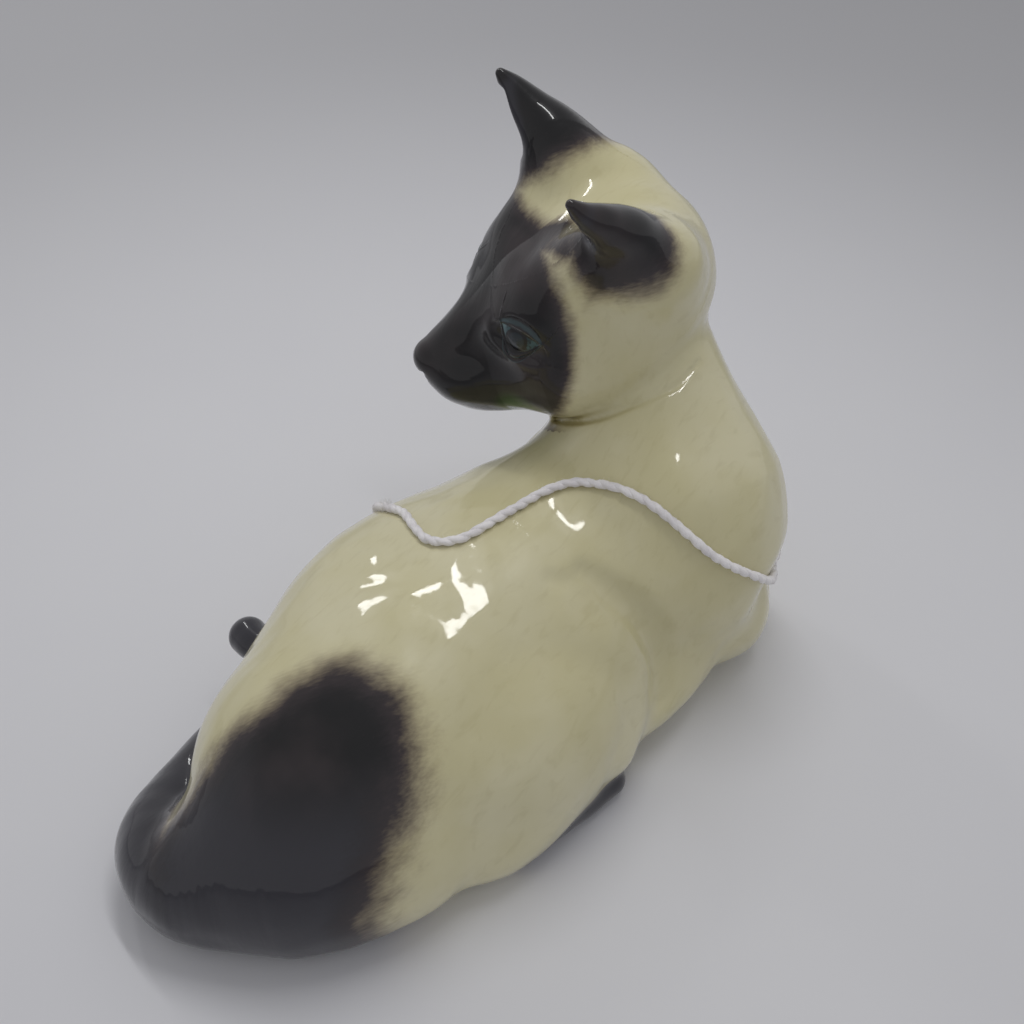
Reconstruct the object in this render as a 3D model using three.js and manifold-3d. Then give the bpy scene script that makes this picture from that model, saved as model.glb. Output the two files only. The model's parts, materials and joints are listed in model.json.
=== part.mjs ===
// Glazed earthenware cat lying down with its head turned back over its left side.
//
// Millimetres, +Z up. +Y runs from the tail to the chest, +X is the cat's right,
// and the origin is on the table under the middle of the figurine.
// Each casting is the surface where a distance field passes through zero. A field
// takes a point and answers how far it is outside (plus) or inside (minus) the clay.
import * as THREE from 'three';
import { MarchingCubes } from 'three/addons/objects/MarchingCubes.js';
import { mergeVertices } from 'three/addons/utils/BufferGeometryUtils.js';
import Module from 'manifold-3d';

const wasm = await Module();
wasm.setup();

// ---- driving dimensions ------------------------------------------------------
const WALL = 4.5;             // thickness of the slip-cast wall
const LUTE_GAP = 0.35;        // slip joint between two castings
const VENT_RADIUS = 3;        // hole that lets air out of the hollow in the kiln
const THROAT_RADIUS = 8;      // opening that joins the head's hollow to the body's
const STRING_DIAMETER = 2.4;  // two-ply cotton string
const STRING_SIDES = 8;
const STRING_STEPS = 80;
const ORIGIN = new THREE.Vector3(3.3, -5.1, 0);   // brings the outline's middle over zero

const HEAD_CENTRE = new THREE.Vector3(-16, 72, 96);
const HEAD_YAW = 143;         // degrees to the left of straight ahead
const HEAD_PITCH = -16;       // degrees, nose down
const HEAD_ROLL = -9;         // degrees, left ear down

// ---- distance fields -----------------------------------------------------------
const radians = THREE.MathUtils.degToRad;

function ellipsoid([cx, cy, cz], [rx, ry, rz], turn = 0) {
  const cos = Math.cos(radians(turn));
  const sin = Math.sin(radians(turn));
  return ({ x, y, z }) => {
    const u = ((x - cx) * cos + (y - cy) * sin) / rx;
    const v = ((y - cy) * cos - (x - cx) * sin) / ry;
    const w = (z - cz) / rz;
    const reach = Math.hypot(u, v, w);
    const slope = Math.hypot(u / rx, v / ry, w / rz) + 1e-9;
    return reach * (reach - 1) / slope;
  };
}

function limb([ax, ay, az], [bx, by, bz], radiusA, radiusB) {
  const along = [bx - ax, by - ay, bz - az];
  const square = along[0] ** 2 + along[1] ** 2 + along[2] ** 2;
  return ({ x, y, z }) => {
    const dot = (x - ax) * along[0] + (y - ay) * along[1] + (z - az) * along[2];
    const t = THREE.MathUtils.clamp(dot / square, 0, 1);
    const away = Math.hypot(x - ax - t * along[0], y - ay - t * along[1], z - az - t * along[2]);
    return away - THREE.MathUtils.lerp(radiusA, radiusB, t);
  };
}

function blendPair(a, b, softness) {
  const near = Math.max(softness - Math.abs(a - b), 0) / softness;
  return Math.min(a, b) - near * near * softness / 4;
}

const blend = (softness, ...fields) => p =>
  fields.map(field => field(p)).reduce((a, b) => blendPair(a, b, softness));

const carve = (field, cutter, softness) => p => -blendPair(-field(p), cutter(p), softness);

const grow = (field, by) => p => field(p) - by;

// Straight tapering spans through stations, each [x, y, z, radius], softly joined.
function taper(stations, softness) {
  const spans = stations.slice(1).map((end, i) => {
    const start = stations[i];
    return limb(start.slice(0, 3), end.slice(0, 3), start[3], end[3]);
  });
  return blend(softness, ...spans);
}

// A smooth bending limb through stations, each [x, y, z, radius].
function sweep(stations, spansEach = 5) {
  const spanCount = (stations.length - 1) * spansEach;
  const centres = new THREE.CatmullRomCurve3(
    stations.map(([x, y, z]) => new THREE.Vector3(x, y, z)), false, 'catmullrom', 0.5);
  const radii = new THREE.CatmullRomCurve3(
    stations.map(station => new THREE.Vector3(station[3], 0, 0)), false, 'catmullrom', 0.5);
  const spans = [];
  for (let i = 0; i < spanCount; i++) {
    const start = centres.getPoint(i / spanCount).toArray();
    const end = centres.getPoint((i + 1) / spanCount).toArray();
    spans.push(limb(start, end, radii.getPoint(i / spanCount).x, radii.getPoint((i + 1) / spanCount).x));
  }
  return p => Math.min(...spans.map(span => span(p)));
}

// ---- the cat's masses ------------------------------------------------------------
const back = blend(20,
  ellipsoid([-1, -33, 24], [35, 43, 31]),       // pelvis
  ellipsoid([-1, 20, 29], [37, 56, 34]),        // ribs
  ellipsoid([12, 63, 36], [37.5, 32, 37]));     // chest

const neck = limb([12, 69, 50], [-5, 77, 84], 27, 18.5);

const torso = blend(4,
  blend(12,
    back,
    neck,
    ellipsoid([7, 34, 12], [37, 46, 16]),         // belly on the ground
    ellipsoid([7, -43, 12], [32, 28, 18]),        // seat
    ellipsoid([-15, 46, 36], [18, 22, 20]),       // left shoulder
    ellipsoid([-25, -4, 26], [21, 35, 26.5], 6)), // left haunch
  ellipsoid([23, -6, 18], [23.5, 38, 30], -4));   // right haunch with its knee rim

const headTurn = new THREE.Matrix4().compose(
  HEAD_CENTRE,
  new THREE.Quaternion().setFromEuler(
    new THREE.Euler(radians(HEAD_PITCH), radians(HEAD_ROLL), radians(HEAD_YAW), 'ZXY')),
  new THREE.Vector3(1, 1, 1));
const toHead = headTurn.clone().invert();

// Runs a field in the head's own frame: +X to its right, +Y out of the nose.
// side -1 mirrors it to the left, and 0 folds it over so that both sides match.
function inHead(field, side) {
  const local = new THREE.Vector3();
  return p => {
    local.copy(p).applyMatrix4(toHead);
    local.x = side === 0 ? Math.abs(local.x) : side * local.x;
    return field(local);
  };
}

const skull = blend(8,
  ellipsoid([0, -3, 1], [27, 27, 25]),          // braincase
  ellipsoid([12, 6, -8], [15, 19, 14]),         // cheek
  ellipsoid([10, 21, 5], [9, 10, 7]),           // brow
  limb([0, 12, -7], [0, 38, -12], 17, 9.5),     // muzzle
  limb([0, 18, 8], [0, 45, -7], 9, 5.5),        // bridge of the nose
  ellipsoid([0, 35, -18], [8.5, 9, 5.5]));      // chin
const head = inHead(skull, 0);

// One ear, on the right of the head: a cone with its front scooped out.
const pinna = carve(
  taper([[17, -7, 13, 13], [21, -3, 27, 8.5], [27, 9, 45, 2.2]], 4),
  taper([[17, 4, 14, 12], [21, 6, 27, 7.5], [26, 14, 41, 1.5]], 4),
  1.5);

const tail = sweep([
  [3, -61, 12, 17],
  [-12, -76, 11, 14],
  [-27, -76, 9.5, 11],
  [-35, -62, 8.5, 8.7],
  [-39, -44, 8, 8],
  [-40, -26, 8, 7]]);

const foreleg = side => sweep([
  [10 + side * 26, 67, 14, 13],
  [9 + side * 22, 81, 9, 9],
  [8 + side * 18, 89, 7.5, 7.5]]);

const rightHindPaw = sweep([[37, -20, 6, 6.5], [41.5, -5, 5.5, 6], [43, 8, 5, 5.5]]);
const leftHindPaw = sweep([[-38, -44, 22, 6], [-45, -37, 21, 6.2], [-50, -31, 20, 5.8]]);

// ---- solids ------------------------------------------------------------------------
// The skin of a field as a closed mesh, found on a cubic grid that holds the box.
function skin(field, low, high, cell) {
  const box = new THREE.Box3(new THREE.Vector3(...low), new THREE.Vector3(...high));
  const centre = box.getCenter(new THREE.Vector3());
  const span = box.getSize(new THREE.Vector3());
  const cells = Math.ceil(Math.max(span.x, span.y, span.z) / cell) + 4;
  const grid = new MarchingCubes(cells, new THREE.MeshBasicMaterial(), false, false, 40000);
  const point = new THREE.Vector3();
  const leastDistance = 0.1 * cell;             // keeps slivers out of the mesh
  let index = 0;
  for (let k = 0; k < cells; k++) {
    for (let j = 0; j < cells; j++) {
      for (let i = 0; i < cells; i++) {
        point.set(i, j, k).subScalar(cells / 2).multiplyScalar(cell).add(centre);
        const inBox = box.containsPoint(point);
        const distance = inBox ? field(point) : box.distanceToPoint(point) + cell;
        const side = distance < 0 ? -1 : 1;
        grid.field[index++] = -side * Math.max(Math.abs(distance), leastDistance);
      }
    }
  }
  grid.isolation = 0;
  grid.update();
  const positions = grid.positionArray.slice(0, grid.count * 3);
  const geometry = new THREE.BufferGeometry();
  geometry.setAttribute('position', new THREE.BufferAttribute(positions, 3));
  const half = cells * cell / 2;
  geometry.scale(half, half, half);
  geometry.translate(centre.x, centre.y, centre.z);
  return toSolid(geometry);
}

function toSolid(geometry) {
  const bare = geometry.clone();
  bare.deleteAttribute('normal');
  bare.deleteAttribute('uv');
  const merged = mergeVertices(bare, 1e-3);
  return new wasm.Manifold(new wasm.Mesh({
    numProp: 3,
    vertProperties: new Float32Array(merged.attributes.position.array),
    triVerts: new Uint32Array(merged.index.array),
  }));
}

function toGeometry(solid) {
  const mesh = solid.getMesh();
  const geometry = new THREE.BufferGeometry();
  geometry.setAttribute('position', new THREE.BufferAttribute(mesh.vertProperties, 3));
  geometry.setIndex(new THREE.BufferAttribute(mesh.triVerts, 1));
  geometry.computeVertexNormals();
  return geometry;
}

function cylinderBetween(start, end, radius) {
  const from = new THREE.Vector3(...start);
  const to = new THREE.Vector3(...end);
  const axis = to.clone().sub(from);
  const geometry = new THREE.CylinderGeometry(radius, radius, axis.length(), 24);
  const turn = new THREE.Quaternion().setFromUnitVectors(new THREE.Vector3(0, 1, 0), axis.normalize());
  geometry.applyQuaternion(turn);
  const middle = from.add(to).multiplyScalar(0.5);
  geometry.translate(middle.x, middle.y, middle.z);
  return toSolid(geometry);
}

const table = toSolid(new THREE.BoxGeometry(400, 400, 100).translate(0, 0, -50));

// Grids: the box each skin is looked for in, and the size of its cells.
const TORSO_GRID = [[-60, -90, -9], [62, 106, 112], 6.5];
const HEAD_GRID = [[-72, 10, 56], [26, 114, 136], 4.5];
const LEFT_EAR_GRID = [[-50, 20, 86], [20, 110, 156], 3.5];
const RIGHT_EAR_GRID = [[-85, 40, 90], [5, 125, 160], 3.5];
const TAIL_GRID = [[-58, -98, -12], [26, -8, 34], 5];
const forelegGrid = side => [[8 + side * 22 - 22, 46, -8], [8 + side * 22 + 22, 102, 32], 4.5];
const RIGHT_PAW_GRID = [[26, -32, -6], [54, 20, 18], 3.5];
const LEFT_PAW_GRID = [[-62, -56, 8], [-28, -18, 34], 3.5];

const outerTorso = skin(torso, ...TORSO_GRID);
const torsoClearance = skin(grow(torso, LUTE_GAP), ...TORSO_GRID);
const outerHead = skin(head, ...HEAD_GRID);
const headClearance = skin(grow(head, LUTE_GAP), ...HEAD_GRID);
const throat = cylinderBetween([8, 70, 48], [-12, 74, 92], THROAT_RADIUS);

function makeTorso() {
  const hollow = skin(grow(torso, -WALL), TORSO_GRID[0], TORSO_GRID[1], 9);
  const roofOfBase = toSolid(new THREE.BoxGeometry(400, 400, 100).translate(0, 0, WALL - 50));
  const vent = cylinderBetween([6, 0, -1], [6, 0, 3 * WALL], VENT_RADIUS);
  return outerTorso.subtract(hollow.subtract(roofOfBase)).subtract(vent).subtract(throat).subtract(table);
}

function makeHead() {
  const hollow = skin(grow(head, -WALL), HEAD_GRID[0], HEAD_GRID[1], 6);
  return outerHead.subtract(hollow).subtract(torsoClearance).subtract(throat);
}

function makeEar(side) {
  const grid = side < 0 ? LEFT_EAR_GRID : RIGHT_EAR_GRID;
  return skin(inHead(pinna, side), ...grid).subtract(headClearance);
}

function lutedToTorso(field, grid) {
  return skin(field, ...grid).subtract(torsoClearance).subtract(table);
}

function makeLeftHindPaw() {
  const tailClearance = skin(grow(tail, LUTE_GAP), ...TAIL_GRID);
  return lutedToTorso(leftHindPaw, LEFT_PAW_GRID).subtract(tailClearance);
}

// ---- string ------------------------------------------------------------------------
// A tag's string, tied in a loop round the chest. It starts and ends at its knot on the
// left flank, runs over the back and round the right shoulder, and returns under the chin.
const STRING_ROUTE = [
  [-45.1, 19.6, 30.1],
  [-44.7, 15.1, 37.2],
  [-40.6, 10.7, 46.5],
  [-35.6, 7.8, 52.0],
  [-30.0, 6.3, 55.7],
  [-23.7, 5.2, 58.5],
  [-16.6, 2.0, 60.6],
  [-10.5, -0.2, 61.9],
  [-5.8, 0.6, 62.8],
  [-2.5, 3.9, 63.5],
  [-0.9, 9.2, 64.1],
  [0.9, 19.0, 64.7],
  [3.4, 28.0, 65.5],
  [7.4, 33.7, 66.6],
  [12.5, 36.6, 67.3],
  [18.4, 38.8, 67.2],
  [24.9, 40.5, 65.8],
  [31.7, 42.1, 62.5],
  [36.8, 43.7, 58.7],
  [41.6, 46.3, 54.2],
  [45.6, 50.2, 50.0],
  [49.0, 55.3, 45.4],
  [51.0, 62.5, 39.5],
  [49.5, 72.5, 33.5],
  [43.4, 82.4, 29.5],
  [34.2, 90.1, 27.7],
  [22.3, 95.0, 26.7],
  [9.9, 96.2, 26.5],
  [-3.6, 93.4, 26.6],
  [-16.4, 86.4, 27.0],
  [-26.5, 75.5, 27.4],
  [-33.2, 64.1, 27.7],
  [-37.3, 51.6, 28.0],
  [-38.9, 39.4, 28.2],
  [-42.0, 29.1, 28.2]];
const KNOT_CENTRE = new THREE.Vector3(-44.4, 24.2, 28.8);
const KNOT_OUTWARD = new THREE.Vector3(-0.94, 0.33, 0.06);   // away from the flank
const KNOT_RADIUS = 1.8;
const KNOT_STRAND = 0.75;

function makeString() {
  const route = new THREE.CatmullRomCurve3(STRING_ROUTE.map(point => new THREE.Vector3(...point)));
  const section = new THREE.Shape();
  for (let i = 0; i < STRING_SIDES; i++) {
    const angle = i / STRING_SIDES * 2 * Math.PI;
    const corner = [Math.cos(angle), Math.sin(angle)].map(value => value * STRING_DIAMETER / 2);
    if (i === 0) section.moveTo(...corner);
    else section.lineTo(...corner);
  }
  section.closePath();
  return toSolid(new THREE.ExtrudeGeometry(section, {
    steps: STRING_STEPS,
    extrudePath: route,
    bevelEnabled: false,
  }));
}

// An overhand knot is a trefoil pulled tight.
function makeKnot() {
  const trefoil = new THREE.TorusKnotGeometry(KNOT_RADIUS, KNOT_STRAND, 40, 6, 2, 3);
  trefoil.applyQuaternion(new THREE.Quaternion().setFromUnitVectors(
    new THREE.Vector3(0, 0, 1), KNOT_OUTWARD.clone().normalize()));
  trefoil.translate(KNOT_CENTRE.x, KNOT_CENTRE.y, KNOT_CENTRE.z);
  return toSolid(trefoil);
}

// ---- materials and assembly ------------------------------------------------------------
const creamGlaze = new THREE.MeshStandardMaterial({ color: 0xc9c4a2, roughness: 0.12, metalness: 0 });
const sealGlaze = new THREE.MeshStandardMaterial({ color: 0x2b2a2d, roughness: 0.12, metalness: 0 });
const cotton = new THREE.MeshStandardMaterial({ color: 0xe9e7e4, roughness: 0.95, metalness: 0 });

const cat = new THREE.Group();
cat.position.copy(ORIGIN);

// Only the largest body of a cut is kept: crumbs left by a cut are cleaned off.
function largest(solid) {
  return solid.decompose().reduce((a, b) => (a.volume() > b.volume() ? a : b));
}

function place(name, solid, material) {
  const mesh = new THREE.Mesh(toGeometry(largest(solid)), material);
  mesh.name = name;
  cat.add(mesh);
}

place('torso_casting', makeTorso(), creamGlaze);
place('head_casting', makeHead(), creamGlaze);
place('left_ear', makeEar(-1), sealGlaze);
place('right_ear', makeEar(1), sealGlaze);
place('tail', lutedToTorso(tail, TAIL_GRID), sealGlaze);
place('left_foreleg', lutedToTorso(foreleg(-1), forelegGrid(-1)), creamGlaze);
place('right_foreleg', lutedToTorso(foreleg(1), forelegGrid(1)), creamGlaze);
place('left_hind_paw', makeLeftHindPaw(), sealGlaze);
place('right_hind_paw', lutedToTorso(rightHindPaw, RIGHT_PAW_GRID), sealGlaze);
place('tag_string', makeString(), cotton);
place('string_knot', makeKnot(), cotton);

export default cat;
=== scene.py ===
"""A glazed pottery figurine of a lying cat, with a cotton string tied round it.

The whole animal is one sculpted distance field, in millimetres, in the figurine's own sculpt frame: +X is
the cat's right, +Y its chest and +Z up, from the table. Each piece is a stretch of that one surface, cut
where its own mass meets its neighbours', so the glaze runs over the joins without a seam.
"""

import json
from concurrent.futures import ThreadPoolExecutor

import bpy
import numpy as np
from mathutils import Matrix, Vector


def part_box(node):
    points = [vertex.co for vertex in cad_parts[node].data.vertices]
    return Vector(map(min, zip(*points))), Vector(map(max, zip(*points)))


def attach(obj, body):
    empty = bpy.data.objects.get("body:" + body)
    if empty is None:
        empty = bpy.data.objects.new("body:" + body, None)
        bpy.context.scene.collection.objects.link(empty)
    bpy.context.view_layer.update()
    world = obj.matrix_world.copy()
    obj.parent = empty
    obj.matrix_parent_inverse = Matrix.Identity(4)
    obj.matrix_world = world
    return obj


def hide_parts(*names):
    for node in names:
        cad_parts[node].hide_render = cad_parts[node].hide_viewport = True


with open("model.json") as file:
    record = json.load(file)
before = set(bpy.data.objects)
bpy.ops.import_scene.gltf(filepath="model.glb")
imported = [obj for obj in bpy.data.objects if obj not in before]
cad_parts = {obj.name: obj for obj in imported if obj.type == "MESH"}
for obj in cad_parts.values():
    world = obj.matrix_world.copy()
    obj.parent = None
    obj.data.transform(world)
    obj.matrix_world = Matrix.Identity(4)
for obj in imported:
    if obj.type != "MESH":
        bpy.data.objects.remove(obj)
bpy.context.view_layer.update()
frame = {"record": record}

MM = 0.001
BASE_MOUNT = next(m for m in frame["record"]["mounts"] if m["name"] == "base")
BASE_IN_SCULPT = (5.0, 40.0, 0.0)  # the base mount's point, in the sculpt frame
ORIGIN = np.array(BASE_MOUNT["pos_m"]) / MM - np.array(BASE_IN_SCULPT)
WORKERS = 4
CHUNK = 40000

# ---------------------------------------------------------------------------- distance fields


def vector(values):
    return np.array(values, np.float32)


def unit(values):
    values = vector(values)
    return values / np.linalg.norm(values)


def turned(axis, degrees):
    """The rotation matrix for a turn about one axis."""
    c, s = np.cos(np.radians(degrees)), np.sin(np.radians(degrees))
    i, j = [(1, 2), (2, 0), (0, 1)][axis]
    made = np.eye(3, dtype=np.float32)
    made[i, i] = made[j, j] = c
    made[i, j], made[j, i] = -s, s
    return made


def smooth_min(a, b, k):
    near = np.maximum(k - np.abs(a - b), 0) / k
    return np.minimum(a, b) - near * near * k * 0.25


def ellipsoid(centre, radii, turn=0, axes=None):
    """An ellipsoid with a turn about the vertical, or with its axes given as the columns of a matrix."""
    centre, radii = vector(centre), vector(radii)
    axes = turned(2, turn) if axes is None else axes

    def field(p):
        q = (p - centre) @ axes / radii
        k0 = np.sqrt((q * q).sum(-1))
        q /= radii
        return k0 * (k0 - 1) / (np.sqrt((q * q).sum(-1)) + 1e-9)

    return field


def limb(a, b, ra, rb):
    """A round-ended cone from a to b."""
    a, along = vector(a), vector(b) - vector(a)
    reach = float(along @ along)

    def field(p):
        q = p - a
        t = np.clip(q @ along / reach, 0, 1)
        q = q - t[..., None] * along
        return np.sqrt((q * q).sum(-1)) - (ra + (rb - ra) * t)

    return field


def blend(k, *fields):
    """A union with fillets of about k."""

    def field(p):
        d = fields[0](p)
        for other in fields[1:]:
            d = smooth_min(d, other(p), k)
        return d

    return field


def carve(body, tool, k):
    """The body without the tool, with its edges rounded by about k."""
    return lambda p: -smooth_min(-body(p), tool(p), k)


def near(centre, reach, body, margin=6.0):
    """The same field, worked out only within reach of the centre. Beyond that, a smaller true distance."""
    centre = vector(centre)

    def field(p):
        q = p - centre
        d = np.sqrt((q * q).sum(-1)) - reach
        close = d < 0
        d += margin
        if close.any():
            d[close] = body(p[close])
        return d

    return field


def chain(stations):
    """Round-ended cones from each station (x, y, z, radius) to the next."""
    return [limb(a[:3], b[:3], a[3], b[3]) for a, b in zip(stations[:-1], stations[1:])]


def curve_through(points, steps):
    """Points on a smooth Catmull-Rom curve through the given points."""
    x = np.array(points, float)
    x = np.vstack([2 * x[0] - x[1], x, 2 * x[-1] - x[-2]])
    made = []
    for p0, p1, p2, p3 in zip(x[:-3], x[1:-2], x[2:-1], x[3:]):
        for t in np.arange(steps) / steps:
            bend = (2 * p0 - 5 * p1 + 4 * p2 - p3) * t * t + (-p0 + 3 * p1 - 3 * p2 + p3) * t**3
            made.append(0.5 * (2 * p1 + (p2 - p0) * t + bend))
    made.append(x[-2])
    return np.array(made)


def sweep(stations, steps=5, room=8):
    """A round limb along a smooth curve through stations (x, y, z, radius), true to within that room."""
    pieces = chain(curve_through(stations, steps))
    middle = np.mean([s[:3] for s in stations], axis=0)
    reach = max(np.linalg.norm(np.array(s[:3]) - middle) + s[3] for s in stations) + room

    def field(p):
        d = pieces[0](p)
        for piece in pieces[1:]:
            d = np.minimum(d, piece(p))
        return d

    return near(middle, reach, field, margin=0.75 * room)


# ---------------------------------------------------------------------------- the cat's masses

HEAD_CENTRE = vector((-16, 72, 96))
HEAD_AXES = turned(2, 143) @ turned(0, -16) @ turned(1, -9)  # columns: its right, its front, its top


def head_local(p):
    return (p - HEAD_CENTRE) @ HEAD_AXES


def in_head(body, side):
    """A field given in the head's own frame. Side 0 is the same on both sides, 1 the right, -1 the left."""

    def field(p):
        q = head_local(p)
        q[..., 0] = np.abs(q[..., 0]) if side == 0 else side * q[..., 0]
        return body(q)

    return near(HEAD_CENTRE, 72, field, margin=8)


def torso_mass():
    back = blend(
        20,
        ellipsoid((-1, -33, 24), (35, 43, 31)),
        ellipsoid((-1, 20, 29), (37, 56, 34)),
        ellipsoid((12.8, 63, 36), (37.7, 33.2, 38)),
    )
    neck = limb((12, 69, 50), (-5, 77, 84), 27, 17)
    belly = ellipsoid((8, 34, 12), (38, 46, 16))
    seat = ellipsoid((1.5, -43, 13.5), (35.5, 30, 20))
    left_shoulder = ellipsoid((-12, 44, 25), (18, 20, 16))
    left_haunch = ellipsoid((-25, -4, 26), (21, 35, 26.5), 6)
    scapula = limb((24, 52, 57), (28, 57, 46), 8, 9)
    ribs = blend(12, back, neck, belly, seat, left_shoulder, left_haunch, scapula)
    elbow_dent = ellipsoid((59.5, 76, 29), (15, 16, 12))
    nape_dent = ellipsoid((-31.3, 47.5, 56.6), (12, 10, 12))
    dented = carve(carve(ribs, elbow_dent, 10), nape_dent, 8)
    return carve(dented, near((34, 22, 38), 34, flank_furrows()), 4)


def flank_furrows():
    """The hollow just in front of the right haunch, and two short folds of skin above it."""
    hollow = sweep([
        (23, 19.5, 56.5, 1.6), (30, 23, 51.5, 2.4), (37.5, 27.5, 42, 3.2),
        (42.5, 29.5, 30, 3.4), (46, 28, 20, 2.6),
    ])
    fold = sweep([(19.5, 12, 58.2, 0.5), (22, 14.6, 57, 1.0), (23.6, 18.4, 56.2, 0.6)])
    second_fold = sweep([(25, 15, 56, 0.4), (26.6, 18, 54.8, 0.8), (27.6, 21.5, 53.6, 0.4)])
    return blend(1.5, hollow, fold, second_fold)


def right_haunch():
    thigh = ellipsoid((23, -6, 18), (23.5, 38, 30), -4)
    knee = ellipsoid((26, -22, 10), (17, 20, 12))
    rim = sweep([
        (22, 9, 47.5, 4.5), (29.5, 15.5, 41.5, 5), (34.5, 20, 31, 5),
        (38, 18.5, 20, 5), (40.5, 10, 13.5, 5),
    ])
    return blend(7, blend(8, thigh, knee), rim)


# The left eye and the right eye are mirror images: everything here is on the positive side.
EYE = vector((17.2, 24.8, 7.4))
EYE_OUT = unit((0.70, 0.68, 0.20))
EYE_ALONG = unit(np.cross(np.cross(EYE_OUT, (0.65, -0.65, -0.39)), EYE_OUT))
EYE_UP = np.cross(EYE_ALONG, EYE_OUT) * np.float32(-1)
EYE_UP = EYE_UP if EYE_UP[2] > 0 else -EYE_UP
BALL = 9.0  # the eyeball's radius
BALL_DEPTH = 8.3  # how far its centre lies behind the eye's middle


EYE_HALF = 6.0  # half of the opening's length
CORNER = 2.5  # how far the corners stand above the eye's middle: the eye looks down
UPPER_RISE, LOWER_RISE = 0.8, -6.0  # how far each lid's edge bows from the line between the corners


# Each lid's relief: how far its line bows from the one between the corners, its height and its half width.
LID_WAVES = [
    (UPPER_RISE + 0.9, 0.75, 0.7),
    (UPPER_RISE + 2.8, -0.4, 0.5),
    (LOWER_RISE - 0.7, 0.5, 0.6),
    (LOWER_RISE - 2.4, -0.3, 0.45),
]


def lid_relief(p):
    """How far the lids' ridges stand out at each point round the eye, and their folds go in."""
    u, v = (p - EYE) @ EYE_ALONG, (p - EYE) @ EYE_UP
    arch = 1 - (u / EYE_HALF) ** 2
    reach = np.clip(1 - (u / 8.4) ** 2, 0, 1)
    return sum(h * np.exp(-(((v - CORNER - rise * arch) / w) ** 2)) for rise, h, w in LID_WAVES) * reach


def with_eyes(skull):
    axes = np.stack([EYE_ALONG, EYE_UP, EYE_OUT], 1)
    socket = ellipsoid(EYE + 1.2 * EYE_OUT + 0.4 * EYE_UP, (7.6, 4.8, 2.3), axes=axes)
    ball = ellipsoid(EYE - BALL_DEPTH * EYE_OUT, (BALL, BALL, BALL))
    open_eye = blend(0.8, carve(skull, socket, 2.4), ball)
    return near(EYE, 16, lambda p: open_eye(p) - lid_relief(p))


def skull_mass():
    skull = blend(
        8,
        ellipsoid((0, -3, 1), (27, 27, 25)),
        ellipsoid((13, 6, -9), (17, 20, 15)),
        limb((6, 24, -17), (12, 12, -20), 8, 9),
        ellipsoid((11, 20, 6), (10, 11, 8)),
        limb((11, 14, 13), (16, 2, 22), 8, 8),
        limb((0, 12, -7), (0, 38, -12), 17, 9.5),
        limb((0, 18, 8), (0, 45.2, -5), 9, 6.1),
        ellipsoid((0, 35, -18), (8.5, 9, 5.5)),
        ellipsoid((16, -12, 13), (9, 10, 10)),
        limb((8, 31, -11), (13, 18, -9), 7, 11),
    )
    pads = ellipsoid((5.5, 41, -9.5), (5.5, 6, 5))
    nose = ellipsoid((0, 48, -3.4), (4.3, 3.4, 3.1))
    muzzle = blend(2, blend(6, skull, pads), nose)
    lips = sweep(
        [(0, 50.5, -11.5, 0.7), (5, 48, -13.5, 0.7), (10, 42, -13, 0.4)]
    )
    philtrum = blend(
        0.8, limb((0, 51.4, -7.8), (2.4, 50.8, -7.6), 1.9, 1.6), limb((0, 51, -8), (0, 50, -12), 0.8, 0.7)
    )
    nostril = ellipsoid((3.0, 50.6, -5), (1.0, 1.3, 0.7))
    cut = blend(0.6, lips, philtrum, nostril)
    face = carve(muzzle, near((8, 38, -9), 30, cut), 1.0)
    eyes = with_eyes(face)

    def field(p):
        d = face(p)
        close = np.linalg.norm(p - EYE, axis=-1) < 12
        if close.any():
            d[close] = eyes(p[close])
        return d

    return field


EAR_SPINES = {
    -1: [
        (15.7, -9, 14.8, 9.4), (19.1, -5.9, 27, 7.2), (22.1, -1.3, 35.3, 5),
        (24, 2.7, 41.1, 3.1), (24.8, 5.6, 46.2, 1.2),
    ],
    1: [
        (17, -4.5, 15, 12), (19.5, -0.8, 28.5, 9.2), (24, 2.8, 36.5, 6),
        (27, 5.4, 43, 3.4), (28.4, 7.4, 47.6, 1.3),
    ],
}
EAR_OPENS = {-1: (-0.5, 0.87, 0), 1: (0.3, 0.95, 0)}  # the way each hollow faces


def pinna_mass(side):
    """An ear: a tapering horn, hollowed from the front."""
    spine, opens = EAR_SPINES[side], np.array(EAR_OPENS[side])
    scoop = [(*(np.array((x, y, z)) + 0.55 * r * opens), 0.66 * r) for x, y, z, r in spine[1:4]]
    return carve(sweep(spine, 10), sweep(scoop, 10), 1.4)


def tail_mass():
    return sweep(
        [
            (4, -64, 12, 17),
            (-10, -78, 10.5, 14.5),
            (-24, -77, 9.5, 11.5),
            (-32, -63, 8.5, 8.7),
            (-37, -44, 8, 8),
            (-40, -26, 8, 7),
        ],
        12,
        room=28,
    )


def foreleg_mass(side):
    stations = [(10 + side * 26, 67, 14, 13), (9 + side * 22, 81, 9, 9), (8 + side * 18, 89, 7.5, 7.5)]
    return sweep(stations, room=14)


def hind_paw_mass(side):
    if side > 0:
        return sweep([(36, -20, 4.5, 5), (40.5, -5, 4.3, 4.8), (42.5, 7.5, 4.2, 4.6)])
    return sweep([(-38, -31, 25, 3.8), (-43.5, -31.5, 25.2, 4.8), (-47, -31, 25, 5.2)])


TORSO = blend(4, torso_mass(), right_haunch())
HEAD = in_head(skull_mass(), 0)
EARS = {side: in_head(pinna_mass(side), side) for side in (-1, 1)}
TAIL = tail_mass()
FORELEGS = {side: foreleg_mass(side) for side in (-1, 1)}
HIND_PAWS = {side: hind_paw_mass(side) for side in (-1, 1)}
VENT = limb((6, 0, -2), (6, 0, 16), 3, 3)


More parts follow.
